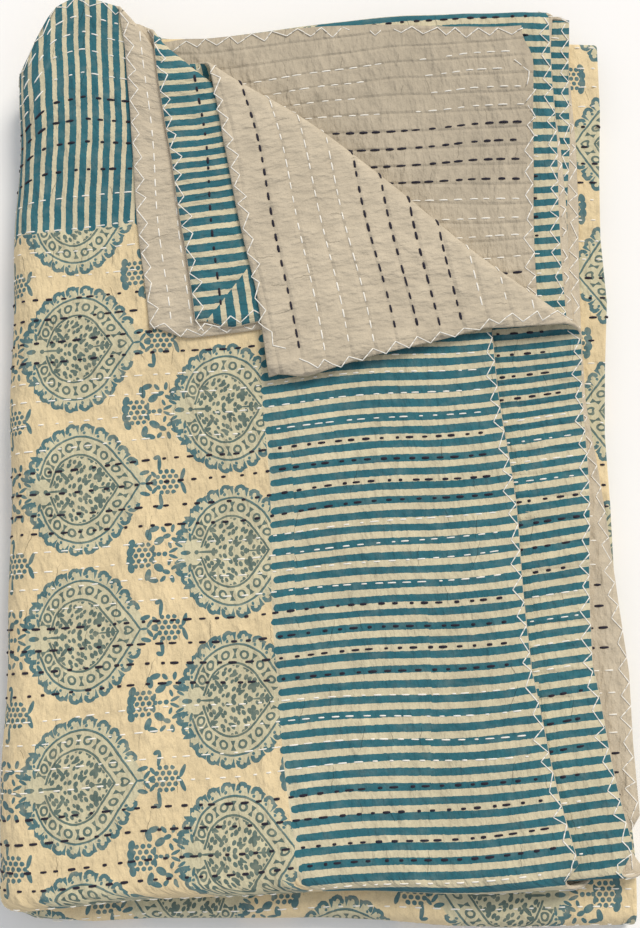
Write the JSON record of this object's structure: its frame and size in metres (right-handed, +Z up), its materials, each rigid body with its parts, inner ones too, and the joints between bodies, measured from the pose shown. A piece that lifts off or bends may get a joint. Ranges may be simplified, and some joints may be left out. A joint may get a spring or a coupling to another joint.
{
  "type": "throw blanket",
  "caption": "Quilted cotton throw, block printed on one face, folded into a flat pile of layers with one corner turned back.",
  "frame": {"origin": "centre of the pile's footprint, on the surface it lies on", "axes": "+Z up, +Y towards the end with the turned-back corner, +X towards the open side hems, away from the thick fold"},
  "size_m": [0.4066, 0.6082, 0.0474],
  "materials": {
    "cotton": "matt quilted cotton, block printed in teal on cream, plain beige back"
  },
  "bodies": {
    "root": {"throw": "cotton"}
  },
  "joints": []
}
